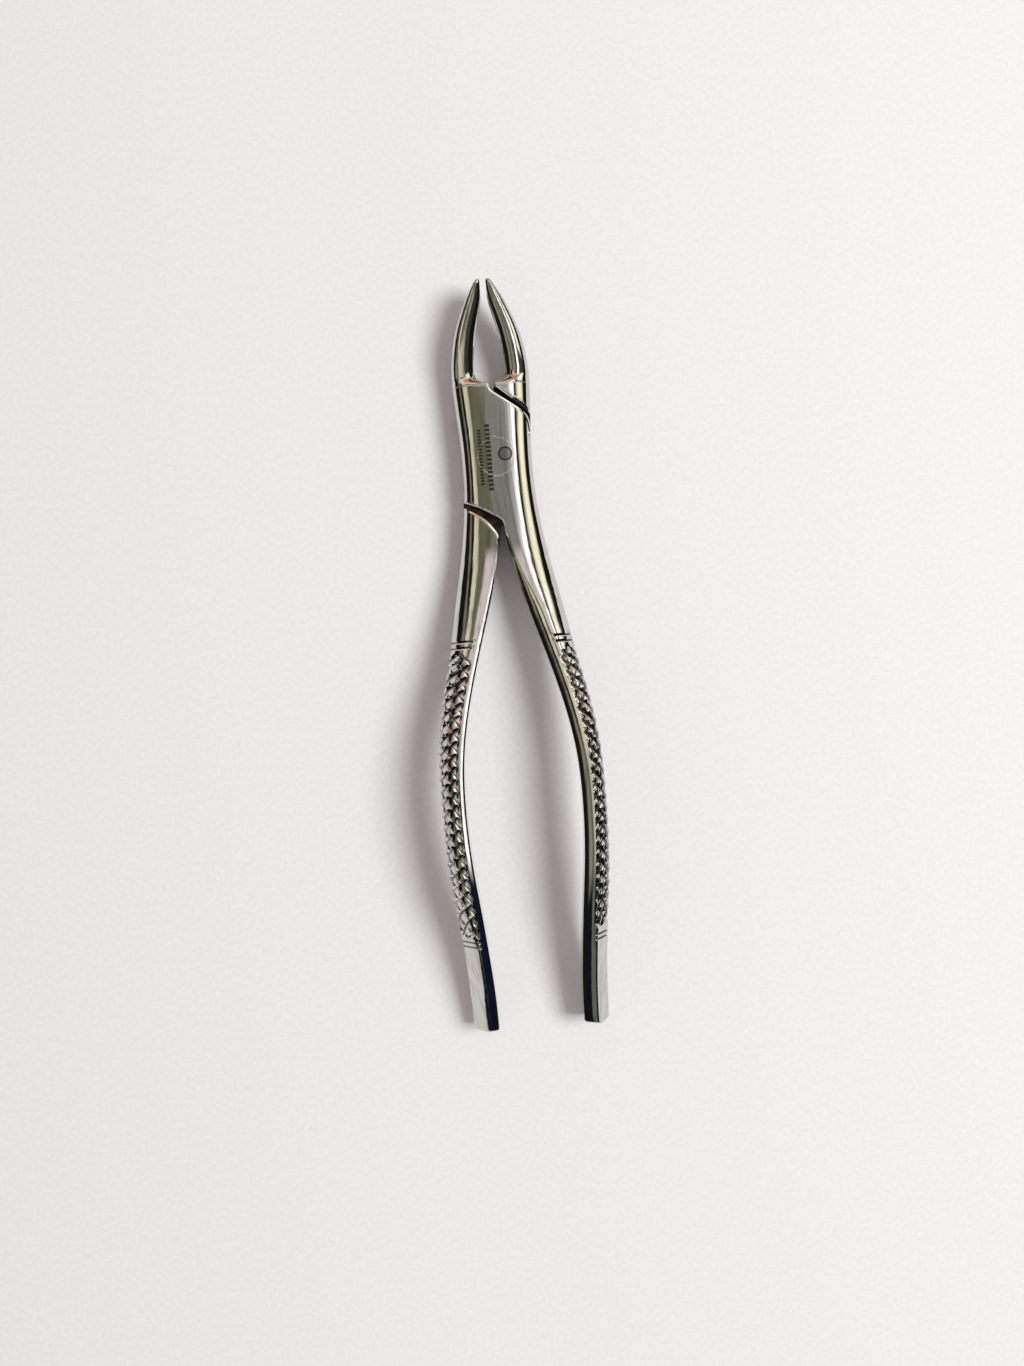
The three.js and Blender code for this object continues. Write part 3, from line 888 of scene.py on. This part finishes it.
def studio():
    """What the steel mirrors: long bright panels overhead on either side, with dark gaps between them.

    The joint mirrors level, the beaks mirror lower, and the ends of the handles mirror lowest. The teeth of
    the grips mirror high.
    """
    world = bpy.data.worlds.new("studio")
    bpy.context.scene.world = world
    world.use_nodes = True
    n = Nodes(world.node_tree)
    direction = n.add("ShaderNodeTexCoord", {}).outputs["Generated"]
    x, y, z = n.add("ShaderNodeSeparateXYZ", {0: direction}).outputs
    across = n.math("ARCTAN2", x, n.math("ABSOLUTE", z))
    ahead = n.math("ARCSINE", y)
    level = panels(n, across, [
        (-90, BLACK), (-61, BLACK), (-59, DARK_TAN), (-51, DARK_TAN), (-49, BLACK), (-41, BLACK),
        (-39, (0.9, 0.86, 0.66)), (-27, (0.8, 0.76, 0.56)), (-24, OLIVE), (-6, OLIVE),
        (-1, (0.27, 0.27, 0.25)), (6, (0.36, 0.35, 0.34)), (10, (0.5, 0.48, 0.48)), (13, (0.9, 0.87, 0.9)),
        (17, WHITE), (22, WHITE), (23.5, BLACK), (28.5, BLACK), (30.5, (0.62, 0.6, 0.38)), (37, CREAM),
        (50, CREAM), (57, (0.7, 0.66, 0.4)), (61, BLACK), (90, BLACK),
    ])
    lower = panels(n, across, [
        (-90, BLACK), (-66, BLACK), (-62, (0.3, 0.29, 0.21)), (-47, (0.36, 0.34, 0.25)), (-45, SLATE),
        (-37, SLATE), (-33, (0.6, 0.57, 0.48)), (-26, (0.78, 0.71, 0.62)), (-12, (0.86, 0.74, 0.64)),
        (-4, (0.6, 0.53, 0.45)), (2, SLATE), (6, SOOT), (10, BLACK), (11.5, WHITE), (19, WHITE),
        (21.5, (0.1, 0.1, 0.085)), (46, SOOT), (60, SOOT), (63, BLACK), (90, BLACK),
    ])
    lowest = panels(n, across, [
        (-90, BLACK), (-62, BLACK), (-50, NIGHT_BLUE), (-43, NIGHT_BLUE), (-40, SLATE), (-7, SLATE),
        (-4, NIGHT_BLUE), (20, NIGHT_BLUE), (28, BLACK), (90, BLACK),
    ])
    high = panels(n, across, [
        (-90, BLACK), (-70, BLACK), (-60, (0.4, 0.32, 0.27)), (-38, PINK), (-4, PINK), (8, (0.6, 0.5, 0.42)),
        (30, (0.55, 0.44, 0.35)), (38, WHITE), (70, CREAM), (78, BLACK), (90, BLACK),
    ])
    aside = n.math("ABSOLUTE", across)
    colour = n.mix(n.between(ahead, *LOWER_ZONE), level, lower)
    colour = n.mix(n.between(ahead, *LOWEST_ZONE), colour, lowest)
    sky_width = n.between(aside, *SKY_EDGE, at_low=1.0, at_high=0.0)
    sky = n.math("MULTIPLY", n.between(ahead, *SKY_ZONE), sky_width)
    colour = n.mix(sky, colour, PALE_SKY)
    colour = n.mix(n.between(ahead, *HIGH_ZONE), colour, high)
    warm_width = n.between(aside, *WARM_EDGE, at_low=0.85, at_high=0.0)
    warm = n.math("MULTIPLY", n.between(ahead, *WARM_ZONE), warm_width)
    colour = n.mix(warm, colour, ORANGE)
    colour = n.mix(n.between(ahead, *DARK_ZONE), colour, BLACK)
    mirrored = n.add("ShaderNodeBackground", {"Color": colour}).outputs[0]
    plain = n.add("ShaderNodeBackground", {"Color": (*ROOM_LIGHT, 1)}).outputs[0]
    glossy = n.add("ShaderNodeLightPath", {}).outputs["Is Glossy Ray"]
    both = n.add("ShaderNodeMixShader", {0: glossy, 1: plain, 2: mirrored}).outputs[0]
    n.add("ShaderNodeOutputWorld", {"Surface": both})


def add_light(name, place, size, power, colour):
    light = bpy.data.lights.new(name, "AREA")
    light.shape, light.size, light.energy, light.color = "DISK", size, power, colour
    obj = bpy.data.objects.new(name, light)
    bpy.context.scene.collection.objects.link(obj)
    obj.location = place
    obj.rotation_euler = obj.location.to_track_quat("Z", "Y").to_euler()
    obj.visible_glossy = False


def add_camera():
    """Straight above, turned so that the forceps leans a little to the left."""
    camera = bpy.data.cameras.new("camera")
    camera.lens = camera.sensor_width * CAMERA_HEIGHT / CAMERA_FRAME
    obj = bpy.data.objects.new("camera", camera)
    bpy.context.scene.collection.objects.link(obj)
    obj.location = (CAMERA_X * MM, CAMERA_Y * MM, (JOINT_THICKNESS + CAMERA_HEIGHT) * MM)
    obj.rotation_euler = (0, 0, math.radians(CAMERA_TURN))
    bpy.context.scene.camera = obj


def write_sizes():
    def plain(box):
        return [list(corner) for corner in box]


pocket = pocket_oxide_and_shade()
marked = polished_steel("marked_steel", marked=True, painted_shade_from=0.35, painted_shade_to=0.8)
polished = polished_steel("polished_steel", marked=False, painted_shade_from=0.55, painted_shade_to=1.0)
front_handle = Handle(seed=11, strip=2.5, fade=4, samples=16, steep=0.5, depth=0.6, lean=0.2,
                      edge=FRONT_HANDLE_EDGE)
rear_handle = Handle(seed=23, strip=1.35, fade=3, samples=20, steep=0.25, depth=0.5, lean=0.26,
                     edge=REAR_HANDLE_EDGE)
forceps_half("front_half_polished", "front_half", "front", 1, front_handle, [marked, pocket])
forceps_half("rear_half_polished", "rear_half", "rear", -1, rear_handle, [polished, pocket])
rivet(marked)
add_floor()
studio()
add_light("key", place=(1.05, 0.0, 1.37), size=0.85, power=24.5, colour=(0.97, 1.0, 0.99))
add_camera()
bpy.context.scene.view_settings.view_transform = "Standard"
write_sizes()
